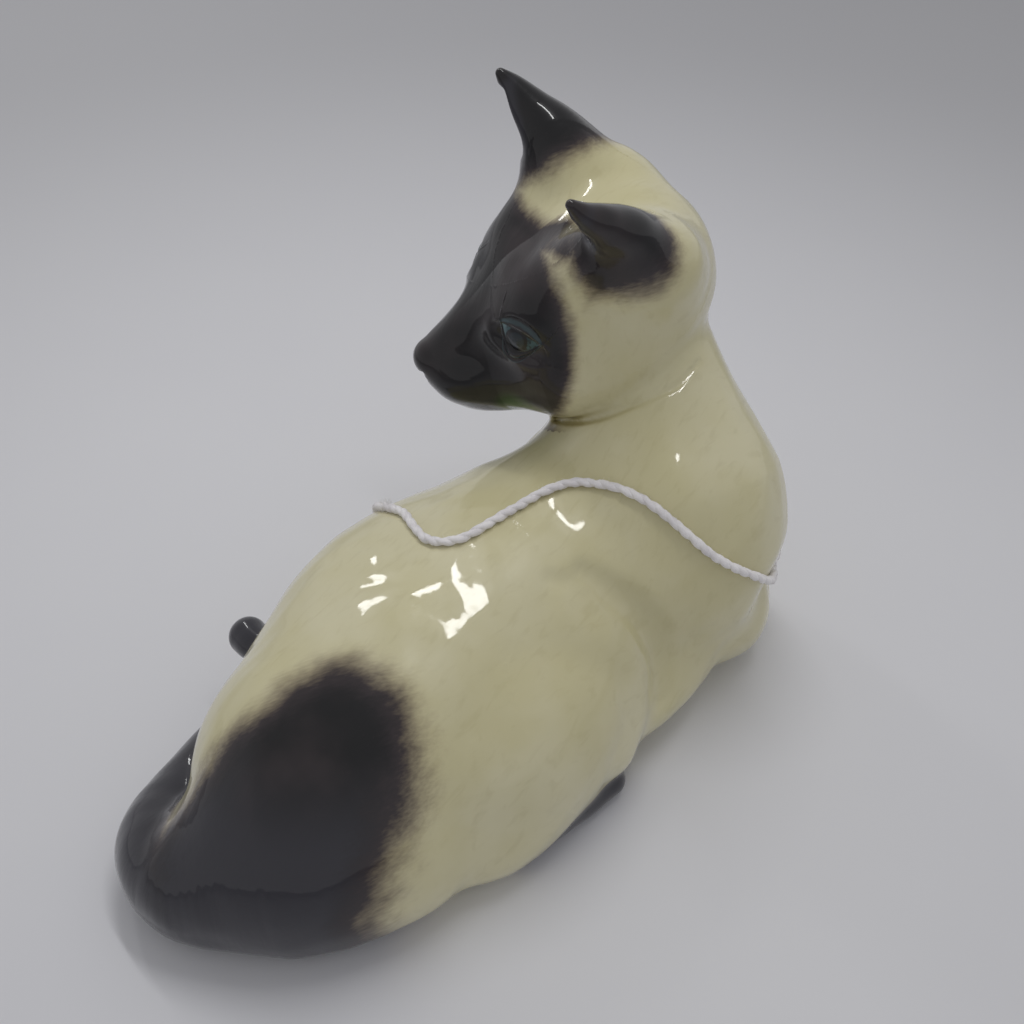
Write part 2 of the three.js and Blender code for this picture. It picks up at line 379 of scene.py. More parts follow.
# The crease where the jaw's back edge and the ear's side of the skull meet the neck.
JAW_CREASE = near(
    (4, 55, 76),
    32,
    sweep(
        [(-12, 51.5, 66, 0.2), (-9.5, 49.5, 68.1, 0.35), (-2.4, 48.6, 71.9, 0.45), (2.5, 50.2, 74.6, 0.45),
         (6.7, 52.7, 77.4, 0.45), (11.8, 57.8, 80.7, 0.4), (15.4, 65.1, 83, 0.3), (15.5, 73, 85.5, 0.1)]
    ),
)


def wobble(p):
    """The slow unevenness of a hand-finished casting, in millimetres."""
    x, y, z = p[..., 0], p[..., 1], p[..., 2]
    broad = np.sin(0.21 * x + 1.3 * np.sin(0.09 * y)) * np.sin(0.17 * y + 0.13 * z + 0.6)
    small = np.sin(0.47 * x + 0.31 * z + 1.1 * np.sin(0.21 * y)) * np.sin(0.43 * y - 0.37 * z + 1.7)
    return 0.16 * broad + 0.07 * small


def cat(p):
    """Signed distance to the whole glazed surface."""
    head = HEAD(p)
    for side in (-1, 1):
        head = smooth_min(head, EARS[side](p), 7)
    d = smooth_min(TORSO(p), head, 3)
    # broad at the root, tight along the left side
    tail_fillet = 3.5 + 15 * np.clip((p[..., 0] + 26) / 14, 0, 1)
    d = smooth_min(d, TAIL(p), tail_fillet)
    for side in (-1, 1):
        d = smooth_min(d, FORELEGS[side](p), 8)
    d = smooth_min(d, HIND_PAWS[1](p), 2)
    d = smooth_min(d, HIND_PAWS[-1](p), 3)
    d = -smooth_min(-d, JAW_CREASE(p), 1.8) - wobble(p)
    d = -smooth_min(-d, VENT(p), 0.8)
    return -smooth_min(-d, p[..., 2], 1.4)


# ---------------------------------------------------------------------------- field to mesh


def spread_out(work, p):
    """work(p) in chunks, on all cores."""
    if len(p) <= CHUNK:
        return work(p)
    parts = np.array_split(p, -(-len(p) // CHUNK))
    with ThreadPoolExecutor(WORKERS) as pool:
        return np.concatenate(list(pool.map(work, parts)))


def slope(field, p, step=0.06):
    """The field's gradient, by central differences."""

    def work(q):
        made = np.empty_like(q)
        for axis in range(3):
            shift = np.zeros(3, np.float32)
            shift[axis] = step
            made[:, axis] = (field(q + shift) - field(q - shift)) / (2 * step)
        return made

    return spread_out(work, p)


def settle(field, p, level=0.0, rounds=2, most=0.5):
    """Moves points along the gradient until they lie at that level of the field."""
    for _ in range(rounds):
        g = slope(field, p)
        size = (g * g).sum(1) + 1e-6
        move = (spread_out(field, p) - level) / size
        step = move[:, None] * g
        length = np.linalg.norm(step, axis=1, keepdims=True) + 1e-9
        p = p - step * np.minimum(1, most / length)
    return p.astype(np.float32)


BLOCK = 8


def sampled(field, low, shape, cell):
    """The field on a grid, worked out only in blocks that the surface may cross."""
    blocks = np.stack(np.meshgrid(*[np.arange(0, n, BLOCK) for n in shape], indexing="ij"), -1).reshape(-1, 3)
    centres = (low + (blocks + (BLOCK - 1) / 2) * cell).astype(np.float32)
    middle = spread_out(field, centres)
    reach = 1.25 * BLOCK * cell * 3**0.5 / 2 + 1.0
    grid = np.empty([-(-n // BLOCK) * BLOCK for n in shape], np.float32)
    tiles = grid.reshape([x for n in grid.shape for x in (n // BLOCK, BLOCK)]).transpose(0, 2, 4, 1, 3, 5)
    i, j, k = (blocks // BLOCK).T
    tiles[i, j, k] = middle[:, None, None, None]
    chosen = np.flatnonzero(np.abs(middle) < reach)
    inner = np.stack(np.meshgrid(*[np.arange(BLOCK)] * 3, indexing="ij"), -1).reshape(-1, 3)
    p = (low + (blocks[chosen][:, None] + inner) * cell).astype(np.float32).reshape(-1, 3)
    values = spread_out(field, p).reshape(-1, BLOCK, BLOCK, BLOCK)
    tiles[i[chosen], j[chosen], k[chosen]] = values
    return grid


CORNERS = np.array([[a, b, c] for a in (0, 1) for b in (0, 1) for c in (0, 1)])
EDGES = [(m, n) for m in range(8) for n in range(m + 1, 8) if np.abs(CORNERS[m] - CORNERS[n]).sum() == 1]


def skin(field, low, high, cell):
    """Points and triangles of the field's zero level: one point in each grid cell that it crosses."""
    low, high = np.array(low, float), np.array(high, float)
    grid = sampled(field, low, np.ceil((high - low) / cell).astype(int) + 1, cell)
    inside = grid < 0
    n = np.array(grid.shape)
    mixed = np.zeros(n - 1, np.int8)
    for a, b, c in CORNERS:
        mixed += inside[a : n[0] - 1 + a, b : n[1] - 1 + b, c : n[2] - 1 + c]
    cells = np.argwhere((mixed > 0) & (mixed < 8))
    corner = np.stack([grid[tuple((cells + c).T)] for c in CORNERS], 1)
    total, count = np.zeros((len(cells), 3)), np.zeros(len(cells))
    for a, b in EDGES:
        crossed = (corner[:, a] < 0) != (corner[:, b] < 0)
        t = np.where(crossed, corner[:, a] / (corner[:, a] - corner[:, b] + 1e-12), 0)
        total += np.where(crossed[:, None], CORNERS[a] + t[:, None] * (CORNERS[b] - CORNERS[a]), 0)
        count += crossed
    points = (low + (cells + total / count[:, None]) * cell).astype(np.float32)
    label = np.full(n - 1, -1, np.int32)
    label[tuple(cells.T)] = np.arange(len(cells))
    faces = []
    for axis in range(3):
        u, v = (axis + 1) % 3, (axis + 2) % 3
        ahead = np.eye(3, dtype=int)[axis]
        here = inside[tuple(slice(0, n[i] - ahead[i]) for i in range(3))]
        there = inside[tuple(slice(ahead[i], n[i]) for i in range(3))]
        crossing = np.argwhere(here != there)
        crossing = crossing[(crossing[:, u] > 0) & (crossing[:, v] > 0)]
        crossing = crossing[(crossing < n - 1).all(1)]
        leaving = here[tuple(crossing.T)]
        du, dv = np.eye(3, dtype=int)[u], np.eye(3, dtype=int)[v]
        ring = [label[tuple((crossing - s * du - t * dv).T)] for s, t in ((0, 0), (1, 0), (1, 1), (0, 1))]
        ring = np.stack(ring, 1)
        faces.append(np.where(leaving[:, None], ring, ring[:, ::-1]))
    quads = np.concatenate(faces)
    quads = quads[(quads >= 0).all(1)]
    triangles = np.concatenate([quads[:, [0, 1, 2]], quads[:, [0, 2, 3]]])
    return settle(field, points, most=cell), triangles


def cut(points, triangles, side):
    """The part of a mesh where side, one value for each point, is negative, cut through its triangles."""
    kept = side < 0
    count = kept[triangles].sum(1)
    made = [triangles[count == 3]]
    crossed = triangles[(count == 1) | (count == 2)]
    lone_kept = count[(count == 1) | (count == 2)] == 1
    alone = kept[crossed] == lone_kept[:, None]
    turn = alone.argmax(1)
    rows = np.arange(len(crossed))
    a, b, c = (crossed[rows, (turn + i) % 3] for i in range(3))
    pairs = np.sort(np.concatenate([np.stack([a, b], 1), np.stack([a, c], 1)]), axis=1)
    unique, where = np.unique(pairs, axis=0, return_inverse=True)
    where = where.reshape(-1) + len(points)
    ab, ac = where[: len(a)], where[len(a) :]
    s, e = side[unique[:, 0]], side[unique[:, 1]]
    t = (s / (s - e))[:, None]
    points = np.concatenate([points, points[unique[:, 0]] * (1 - t) + points[unique[:, 1]] * t])
    one, two = lone_kept, ~lone_kept
    made.append(np.stack([a, ab, ac], 1)[one])
    made.append(np.stack([ab, b, c], 1)[two])
    made.append(np.stack([ab, c, ac], 1)[two])
    triangles = np.concatenate(made)
    used, triangles = np.unique(triangles, return_inverse=True)
    return points[used].astype(np.float32), triangles.reshape(-1, 3)


def closed(points, triangles):
    """The mesh with each open rim shut by a fan of triangles, which lie hidden against the neighbour."""
    edges = np.concatenate([triangles[:, [0, 1]], triangles[:, [1, 2]], triangles[:, [2, 0]]])
    keys = edges[:, 0].astype(np.int64) * len(points) + edges[:, 1]
    twins = edges[:, 1].astype(np.int64) * len(points) + edges[:, 0]
    after = {int(b): int(a) for a, b in edges[~np.isin(keys, twins)]}
    extra_points, extra = [], []
    while after:
        start = next(iter(after))
        loop = [start]
        while loop[-1] in after:
            loop.append(after.pop(loop[-1]))
        hub = len(points) + len(extra_points)
        extra_points.append(points[loop].mean(0))
        extra += [(a, b, hub) for a, b in zip(loop[:-1], loop[1:])]
    if not extra:
        return points, triangles
    return np.concatenate([points, extra_points]).astype(np.float32), np.concatenate([triangles, extra])


# ---------------------------------------------------------------------------- paint places


def mask_edge(p):
    """How far inside the mask, the ears or the brow band a point lies, over the edge's softness."""
    local = head_local(p)
    x, y, z = np.abs(local[:, 0]), local[:, 1], local[:, 2]
    mirrored = np.stack([x, y, z], 1)
    mask = (y - 13.8 - 0.42 * np.maximum(0, 8 - z) + 0.25 * np.maximum(0, 10 - x)) / 3.0
    from_ear = np.minimum(EARS[-1](p), EARS[1](p))
    ears = np.minimum((mirrored @ unit((0.91, 0.2, 1)) - 32.0) / 4.0, (5.0 - from_ear) / 3.4)
    brow = chain([(2, 12.5, 22, 3), (7, 8.5, 25.5, 3), (14, 6, 28.5, 3), (21, 4, 33, 3)])
    band = np.minimum(0.0, -blend(3, *brow)(mirrored) / 3.0) - 3 * (local[:, 0] > 0)
    return np.maximum(np.maximum(mask, ears), band)


def rump_edge(p):
    """The same for the patch over the rump: a broad tongue of colour that widens down to the tail."""
    along = np.clip((-51 - p[:, 1]) / 29, 0, 1)
    across = np.hypot(p[:, 0] - (11.5 - 1.5 * along), np.minimum(p[:, 1], -16) + 51 + 29 * along)
    return (15 + 8 * along - across) / 6.0


def seal_points(p):
    """The brown-black seal points: full colour above 1, bare cream below -1, the edge's middle at 0."""
    on_head = cat_part(p, "head") < 4
    head = np.where(on_head, mask_edge(p), -9)
    rump = np.where((p[:, 1] < -10) & ~on_head, rump_edge(p), -9)
    crease = np.maximum(0, p[:, 2] - 20) * 0.35
    tail = (3.0 - TAIL(p) - crease) / 3.0
    feet = [(1.6 - HIND_PAWS[side](p)) / 1.4 for side in (-1, 1)]
    return np.max([head, rump, tail, *feet], axis=0)


def eye_places(p):
    """Each point as seen over its own side's eye: along it, up it, and the distance from its middle."""
    local = head_local(p)
    local[:, 0] = np.abs(local[:, 0])
    q = local - EYE
    return np.stack([q @ EYE_ALONG, q @ EYE_UP, np.linalg.norm(q, axis=1)], 1)


def pooling_and_crease_shade(p, normal):
    """From 0 on an open stretch to 1 deep in a crease, where glaze pools and where the cream is darkened as
    painted shade.
    """
    reaches = (2.0, 5.0)
    shut = [1 - spread_out(cat, (p + normal * r).astype(np.float32)) / r for r in reaches]
    return np.clip(np.mean(shut, axis=0), 0, 1)


def thinness(p, normal):
    """From 0 on a broad stretch to 1 on a sharp edge, where glaze runs thin."""
    depth = 1.6
    return np.clip(1 + spread_out(cat, (p - normal * depth).astype(np.float32)) / depth, 0, 1)


# ---------------------------------------------------------------------------- pieces


def cat_part(p, part):
    """The distance to one part's own mass."""
    if part == "head":
        return np.minimum(HEAD(p), np.minimum(EARS[-1](p), EARS[1](p)))
    return {"torso": TORSO, "skull": HEAD, "left_ear": EARS[-1], "right_ear": EARS[1], "tail": TAIL,
            "left_foreleg": FORELEGS[-1], "right_foreleg": FORELEGS[1],
            "left_hind_paw": HIND_PAWS[-1], "right_hind_paw": HIND_PAWS[1]}[part](p)


def against(part, *rest):
    """Negative where that part's own mass is nearer than the rest."""

    def side(p):
        return cat_part(p, part) - np.min([cat_part(p, r) for r in rest], axis=0)

    return side


def other(side):
    return lambda p: -side(p)


SIDES = {
    "head": against("head", "torso"),
    "left_ear": against("left_ear", "skull"),
    "right_ear": against("right_ear", "skull"),
    "tail": against("tail", "torso"),
    "left_foreleg": against("left_foreleg", "torso"),
    "right_foreleg": against("right_foreleg", "torso"),
    "right_hind_paw": against("right_hind_paw", "torso"),
    "left_hind_paw": against("left_hind_paw", "torso", "tail"),
}


def piece_region(name):
    """The field that is negative on one piece's stretch of the surface."""
    if name == "head_casting":
        return [SIDES["head"], other(SIDES["left_ear"]), other(SIDES["right_ear"])]
    if name == "torso_casting":
        held = ["head", "tail", "left_foreleg", "right_foreleg", "right_hind_paw", "left_hind_paw"]
        return [other(SIDES[part]) for part in held]
    if name == "tail":
        return [SIDES["tail"], other(SIDES["left_hind_paw"])]
    if name.endswith("ear"):
        return [SIDES["head"], SIDES[name]]
    return [SIDES[name]]


def grid_box(node, margin):
    """A CAD node's box in the sculpt frame, with a margin."""
    low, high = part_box(node)
    low, high = np.array(low) / MM - ORIGIN - margin, np.array(high) / MM - ORIGIN + margin
    low[2] = max(low[2], -1.5)
    return low, high


def mesh_object(name, points, triangles, normals, materials):
    mesh = bpy.data.meshes.new(name)
    mesh.from_pydata(((points + ORIGIN) * MM).tolist(), [], triangles.tolist())
    for material in materials:
        mesh.materials.append(material)
    mesh.polygons.foreach_set("use_smooth", np.ones(len(mesh.polygons), bool))
    if normals is not None:
        mesh.normals_split_custom_set_from_vertices(normals.tolist())
    made = bpy.data.objects.new(name, mesh)
    bpy.context.scene.collection.objects.link(made)
    return made


def store(mesh, name, values):
    """Keeps one number or one vector for each point, for the glaze's nodes to read."""
    kind, field = ("FLOAT", "value") if values.ndim == 1 else ("FLOAT_VECTOR", "vector")
    mesh.attributes.new(name, kind, "POINT").data.foreach_set(field, values.astype(np.float32).ravel())


def glazed_piece(name, cell, softness, materials):
    """One piece of the casting, with its grid size and the softness that evens its shading, both in mm."""
    low, high = grid_box(name, 7)
    points, triangles = skin(cat, low, high, cell)
    for region in piece_region(name):
        points, triangles = cut(points, triangles, spread_out(region, points))
    points, triangles = biggest_part(points, triangles)
    normals = slope(cat, points, softness)
    normals /= np.linalg.norm(normals, axis=1, keepdims=True)
    open_count = len(points)
    points, triangles = closed(points, triangles)
    normals = np.concatenate([normals, np.tile([[0, 0, 1.0]], (len(points) - open_count, 1))])
    piece = mesh_object("glazed_" + name, points, triangles, normals, materials)
    store(piece.data, "seal", spread_out(seal_points, points))
    store(piece.data, "eye", eye_places(points))
    store(piece.data, "face", head_local(points))
    # the crease measure for pooled glaze and painted shade
    store(piece.data, "hollow", pooling_and_crease_shade(points, normals))
    store(piece.data, "edge", thinness(points, normals))
    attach(piece, "root")
    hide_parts(name)
    return piece


def bare_foot(piece, slot_index):
    """Gives the flat base its own material, where the glaze was wiped off."""
    mesh = piece.data
    z = np.empty(len(mesh.vertices) * 3, np.float32)
    mesh.vertices.foreach_get("co", z)
    low = z.reshape(-1, 3)[:, 2] < 0.0002
    corners = np.empty(len(mesh.polygons) * 3, np.int32)
    mesh.polygons.foreach_get("vertices", corners)
    flat = low[corners.reshape(-1, 3)].all(1)
    mesh.polygons.foreach_set("material_index", np.where(flat, slot_index, 0).astype(np.int32))


def biggest_part(points, triangles):
    """The mesh without specks that a cut left loose from it."""
    label = np.arange(len(points))
    while True:
        low = label[triangles].min(1)
        before = label.copy()
        for i in range(3):
            np.minimum.at(label, triangles[:, i], low)
        label = label[label]
        if (label == before).all():
            break
    names, sizes = np.unique(label[triangles[:, 0]], return_counts=True)
    triangles = triangles[label[triangles[:, 0]] == names[sizes.argmax()]]
    used, triangles = np.unique(triangles, return_inverse=True)
    return points[used], triangles.reshape(-1, 3)


# ---------------------------------------------------------------------------- materials


class Paint:
    """Adds shader nodes to a new material and joins them up."""

    def __init__(self, name):
        self.material = bpy.data.materials.new(name)
        self.material.use_nodes = True
        self.tree = self.material.node_tree
        self.tree.nodes.clear()

    def add(self, kind, inputs=(), **settings):
        made = self.tree.nodes.new("ShaderNode" + kind)
        for name, value in settings.items():
            setattr(made, name, value)
        for key, value in dict(inputs).items():
            if isinstance(value, bpy.types.NodeSocket):
                self.tree.links.new(value, made.inputs[key])
            else:
                made.inputs[key].default_value = value
        return made

    def math(self, operation, a, b=0.0, c=0.0, clamp=False):
        return self.add("Math", {0: a, 1: b, 2: c}, operation=operation, use_clamp=clamp).outputs[0]

    def step(self, value, start, end):
        """0 before start, 1 after end, smooth between."""
        inputs = {"Value": value, "From Min": start, "From Max": end}
        return self.add("MapRange", inputs, interpolation_type="SMOOTHSTEP").outputs["Result"]

    def attribute(self, name, output="Fac"):
        return self.add("Attribute", attribute_name=name, attribute_type="GEOMETRY").outputs[output]

    def split(self, socket):
        return self.add("SeparateXYZ", {0: socket}).outputs

    def place(self):
        return self.add("TexCoord").outputs["Object"]

    def noise(self, place, scale, detail=2.0, stretch=(1, 1, 1), distortion=0.0):
        moved = self.add("Mapping", {"Vector": place, "Scale": stretch}).outputs[0]
        inputs = {"Vector": moved, "Scale": scale, "Detail": detail, "Distortion": distortion}
        return self.add("TexNoise", inputs).outputs["Fac"]

    def mix(self, share, a, b):
        return self.add("Mix", {0: share, 6: a, 7: b}, data_type="RGBA").outputs[2]

    def ramp(self, value, stops):
        made = self.add("ValToRGB", {0: value})
        bar = made.color_ramp.elements
        while len(bar) < len(stops):
            bar.new(0.5)
        for element, (where, colour) in zip(bar, stops):
            element.position = where
            element.color = colour
        return made.outputs[0]

    def finish(self, shader):
        self.add("OutputMaterial", {"Surface": shader.outputs[0]})
        return self.material


def srgb(r, g, b):
    """A colour picked as it looks, 0 to 255, as Blender's linear RGBA."""
    shares = [c / 255 for c in (r, g, b)]
    return (*[s / 12.92 if s <= 0.04045 else ((s + 0.055) / 1.055) ** 2.4 for s in shares], 1)


CREAM = srgb(204, 197, 156)
# cream where glaze pools, also used as painted shade deep in creases
CREAM_POOLED_AND_SHADED = srgb(168, 157, 108)
CREAM_LIGHT = srgb(213, 207, 173)
SAND = srgb(172, 156, 124)
BROWN = srgb(112, 94, 80)
PLUM = srgb(50, 42, 44)
SEAL = srgb(12, 11, 14)
# slate grey: painted reflection of the floor low on the dark glaze, and thin glaze on sharp edges
SLATE = srgb(47, 46, 53)
TEAL = srgb(54, 82, 86)
PALE_TEAL = srgb(92, 118, 124)
DEEP_TEAL = srgb(20, 31, 38)
# grey for the painted reflection in the middle of the pupil
PUPIL_REFLECTION_GREY = srgb(34, 43, 47)
# grey-teal for the painted highlight lines along the lids
LID_HIGHLIGHT_GREY = srgb(58, 76, 80)
# greenish colour for the painted reflection of the cream chest under the jaw
GREEN_JAW_REFLECTION = srgb(58, 92, 34)
JAW_REFLECTION_SPOT = (15, 28, -16)  # the middle of the painted greenish reflection of the cream chest under the jaw, in the head's frame


def painted_eye(paint, skin_colour):
    """The brushwork on the eye: a teal iris, a dark pupil with a painted grey reflection in its middle, and
    thin painted grey highlight lines along the lids.
    """
    u, v, distance = paint.split(paint.attribute("eye", "Vector"))
    brush = paint.noise(paint.attribute("eye", "Vector"), 0.9, 3.0)
    shake = paint.math("MULTIPLY_ADD", brush, 0.9, -0.45)
    close = paint.step(distance, 10.0, 8.5)
    across = paint.math("DIVIDE", u, EYE_HALF)
    arch = paint.math("SUBTRACT", 1.0, paint.math("MULTIPLY", across, across))
    above_corners = paint.math("SUBTRACT", v, CORNER)

    def below(rise):
        """How far a point lies under a lid line with that rise, in millimetres."""
        return paint.math("SUBTRACT", paint.math("MULTIPLY", arch, rise), above_corners)

    under_upper = below(UPPER_RISE)
    over_lower = paint.math("MULTIPLY", below(LOWER_RISE), -1.0)
    opening = paint.math("MINIMUM", under_upper, over_lower)
    pupil_u = paint.math("DIVIDE", paint.math("ADD", u, 0.3), 2.9)
    pupil_v = paint.math("DIVIDE", paint.math("SUBTRACT", v, 0.1), 3.4)
    squares = paint.math("ADD", paint.math("POWER", pupil_u, 2.0), paint.math("POWER", pupil_v, 2.0))
    pupil = paint.math("MULTIPLY_ADD", shake, 0.2, paint.math("SQRT", squares))
    iris = paint.mix(paint.step(brush, 0.35, 0.6), DEEP_TEAL, TEAL)
    iris = paint.mix(paint.step(u, -3.2, -4.6), iris, PALE_TEAL)
    # painted reflection: the pupil's grey middle
    middle = paint.mix(paint.step(u, -1.0, 1.6), DEEP_TEAL, PUPIL_REFLECTION_GREY)
    iris = paint.mix(paint.step(pupil, 1.12, 1.0), iris, SEAL)
    iris = paint.mix(paint.step(pupil, 0.8, 0.62), iris, middle)
    inside = paint.math("MULTIPLY", paint.step(opening, 0.45, 1.0), close)
    rim = paint.math("MULTIPLY", paint.step(opening, -0.9, 0.0), close)
    skin_colour = paint.mix(rim, skin_colour, SEAL)
    colour = paint.mix(inside, skin_colour, iris)
    # painted highlights: thin grey lines along the lid ridges and folds
    for rise, half, strength in ((2.6, 0.7, 0.75), (-7.6, 0.4, 0.7), (-9.2, 0.3, 0.5)):
        line = paint.math("MULTIPLY_ADD", shake, 0.4, paint.math("ABSOLUTE", below(rise)))
        line = paint.math("MULTIPLY", paint.step(line, half, half * 0.3), paint.step(arch, -0.1, 0.25))
        line = paint.math("MULTIPLY", paint.math("MULTIPLY", line, close), strength)
        colour = paint.mix(line, colour, LID_HIGHLIGHT_GREY)
    return colour


def glaze(name):
    """Cream earthenware with airbrushed seal points under one clear gloss glaze, with painted shade in
    creases and painted reflections on the dark glaze and the eyes.
    """
    paint = Paint(name)
    place = paint.place()
    face = paint.attribute("face", "Vector")
    hollow, edge = paint.attribute("hollow"), paint.attribute("edge")
    cloud = paint.noise(place, 38, 3.0)
    speckle = paint.noise(place, 900, 2.0)
    streaks = paint.noise(place, 520, 4.0, stretch=(1, 0.3, 0.45), distortion=0.6)
    cream = paint.mix(paint.step(cloud, 0.35, 0.7), CREAM, CREAM_LIGHT)
    cream = paint.mix(paint.math("MULTIPLY", paint.step(streaks, 0.5, 0.75), 0.16), cream, CREAM_POOLED_AND_SHADED)
    # painted shade: the cream darkens towards the pooled colour deep in creases, partly real pooled glaze
    cream = paint.mix(paint.step(hollow, 0.3, 1.0), cream, CREAM_POOLED_AND_SHADED)
    hairs = paint.noise(face, 1.5, 3.0, stretch=(1, 0.2, 1))
    mist = paint.noise(place, 320, 4.0, stretch=(1, 0.5, 0.7))
    smudge = paint.noise(place, 95, 2.0)
    ragged = paint.math("MULTIPLY_ADD", hairs, 0.5, -0.25)
    ragged = paint.math("ADD", ragged, paint.math("MULTIPLY_ADD", mist, 0.5, -0.25))
    ragged = paint.math("ADD", ragged, paint.math("MULTIPLY_ADD", smudge, 1.0, -0.5))
    seal = paint.math("ADD", paint.attribute("seal"), ragged)
    amount = paint.add("MapRange", {"Value": seal, "From Min": -1.6, "From Max": 1.1}).outputs["Result"]
    # painted reflection: the dark glaze turns slate grey low down, where it would mirror the pale floor
    painted_floor_reflection = paint.step(paint.split(place)[2], 0.05, 0.034)
    dark = paint.mix(paint.step(cloud, 0.45, 0.75), SEAL, PLUM)
    dark = paint.mix(painted_floor_reflection, dark, SLATE)
    dark = paint.mix(paint.math("MULTIPLY", paint.step(speckle, 0.62, 0.8), 0.2), dark, PLUM)
    dark = paint.mix(paint.step(edge, 0.3, 0.9), dark, SLATE)
    # painted reflection: a greenish tint under the jaw, where the dark glaze would mirror the cream chest
    far_jaw_reflection = (-JAW_REFLECTION_SPOT[0], JAW_REFLECTION_SPOT[1], JAW_REFLECTION_SPOT[2])
    from_jaw_reflection = paint.add("VectorMath", {0: face, 1: far_jaw_reflection}, operation="DISTANCE").outputs["Value"]
    dark = paint.mix(paint.math("MULTIPLY", paint.step(from_jaw_reflection, 9.5, 4.0), 0.85), dark, GREEN_JAW_REFLECTION)
    tint = paint.ramp(amount, [(0.0, SAND), (0.28, BROWN), (0.6, PLUM), (1.0, SEAL)])
    colour = paint.mix(paint.step(amount, 0.0, 0.62), cream, tint)
    colour = paint.mix(paint.step(amount, 0.55, 1.0), colour, dark)
    colour = painted_eye(paint, colour)
    shader = paint.add(
        "BsdfPrincipled",
        {
            "Base Color": colour,
            "Roughness": 0.35,
            "Specular IOR Level": 0.12,
            "IOR": 1.5,
            "Coat Weight": 1.0,
            "Coat Roughness": 0.05,
            "Coat IOR": 1.43,
        },
    )
    fur = paint.noise(place, 360, 4.0, stretch=(1, 0.2, 0.3), distortion=0.5)
    relief = paint.math("MULTIPLY_ADD", fur, 0.7, paint.math("MULTIPLY", cloud, 0.6))
    bump = paint.add("Bump", {"Height": relief, "Strength": 0.35, "Distance": 0.0006}).outputs[0]
    ripple = paint.noise(place, 120, 2.0)
    skin_of_glaze = paint.add("Bump", {"Height": ripple, "Strength": 0.12, "Distance": 0.001}).outputs[0]
    paint.tree.links.new(bump, shader.inputs["Normal"])
    paint.tree.links.new(skin_of_glaze, shader.inputs["Coat Normal"])
    return paint.finish(shader)


def bisque():
    """The unglazed foot: dry, chalky, slightly stained clay."""
    paint = Paint("unglazed_foot")
    place = paint.place()
    grain = paint.noise(place, 1400, 4.0)
    stain = paint.noise(place, 60, 3.0)
    colour = paint.mix(paint.step(stain, 0.45, 0.7), srgb(214, 206, 188), srgb(176, 164, 142))
    colour = paint.mix(paint.math("MULTIPLY", paint.step(grain, 0.5, 0.8), 0.3), colour, srgb(150, 138, 118))
    shader = paint.add("BsdfPrincipled", {"Base Color": colour, "Roughness": 0.85})
    bump = paint.add("Bump", {"Height": grain, "Strength": 0.4, "Distance": 0.0003}).outputs[0]
    paint.tree.links.new(bump, shader.inputs["Normal"])
    return paint.finish(shader)


def cotton():
    """Soft white cotton yarn."""
    paint = Paint("cotton")
    place = paint.place()
    fibre = paint.noise(place, 5200, 3.0, stretch=(1, 1, 1))
    soil = paint.noise(place, 150, 2.0)
    colour = paint.mix(paint.step(soil, 0.4, 0.7), srgb(246, 243, 243), srgb(230, 226, 228))
    shade = paint.math("MULTIPLY", paint.step(fibre, 0.5, 0.75), 0.35)
    colour = paint.mix(shade, colour, srgb(188, 184, 190))
    shader = paint.add(
        "BsdfPrincipled",
        {"Base Color": colour, "Roughness": 0.9, "Sheen Weight": 0.5, "Sheen Roughness": 0.5},
    )
    bump = paint.add("Bump", {"Height": fibre, "Strength": 0.6, "Distance": 0.0002}).outputs[0]
    paint.tree.links.new(bump, shader.inputs["Normal"])
    return paint.finish(shader)


def paper_white():
    """The plain pale floor, with painted shade that greys it further out."""
    paint = Paint("pale_floor")
    place = paint.place()
    haze = paint.noise(place, 14, 3.0)
    colour = paint.mix(haze, srgb(218, 218, 222), srgb(222, 222, 225))
    away = paint.add("VectorMath", {0: place}, operation="LENGTH").outputs["Value"]
    # painted shade: the floor darkens with distance from the figurine
    colour = paint.mix(paint.step(away, 0.06, 0.55), colour, srgb(183, 183, 186))
    return paint.finish(paint.add("BsdfPrincipled", {"Base Color": colour, "Roughness": 0.6}))


# ---------------------------------------------------------------------------- the string

STRING_DIAMETER = 2.4
STRING_ROUTE = [
    (-45.1, 19.6, 30.1), (-44.7, 15.1, 37.2), (-40.6, 10.7, 46.5), (-35.6, 7.8, 52.0), (-30.0, 6.3, 55.7),
    (-23.7, 5.2, 58.5), (-16.6, 2.0, 60.6), (-10.5, -0.2, 61.9), (-5.8, 0.6, 62.8), (-2.5, 3.9, 63.5),
    (-0.9, 9.2, 64.1), (0.9, 19.0, 64.7), (3.4, 28.0, 65.5), (7.4, 33.7, 66.6), (12.5, 36.6, 67.3),
    (18.4, 38.8, 67.2), (24.9, 40.5, 65.8), (31.7, 42.1, 62.5), (36.8, 43.7, 58.7), (41.6, 46.3, 54.2),
    (45.6, 50.2, 50.0), (49.0, 55.3, 45.4), (51.0, 62.5, 39.5), (49.5, 72.5, 33.5), (43.4, 82.4, 29.5),
    (34.2, 90.1, 27.7), (22.3, 95.0, 26.7), (9.9, 96.2, 26.5), (-3.6, 93.4, 26.6), (-16.4, 86.4, 27.0),
    (-26.5, 75.5, 27.4), (-33.2, 64.1, 27.7), (-37.3, 51.6, 28.0), (-38.9, 39.4, 28.2), (-42.0, 29.1, 28.2),
]
TWIST_PITCH = 7.0
STRAND_RADIUS = 0.36 * STRING_DIAMETER
STRAND_OFFSET = 0.13 * STRING_DIAMETER
FRAYED = np.array((-31.5, 6.8, 54.8))  # a frayed place, where the string goes over the left of the back
KNOT_CENTRE = np.array((-44.4, 24.2, 28.8))


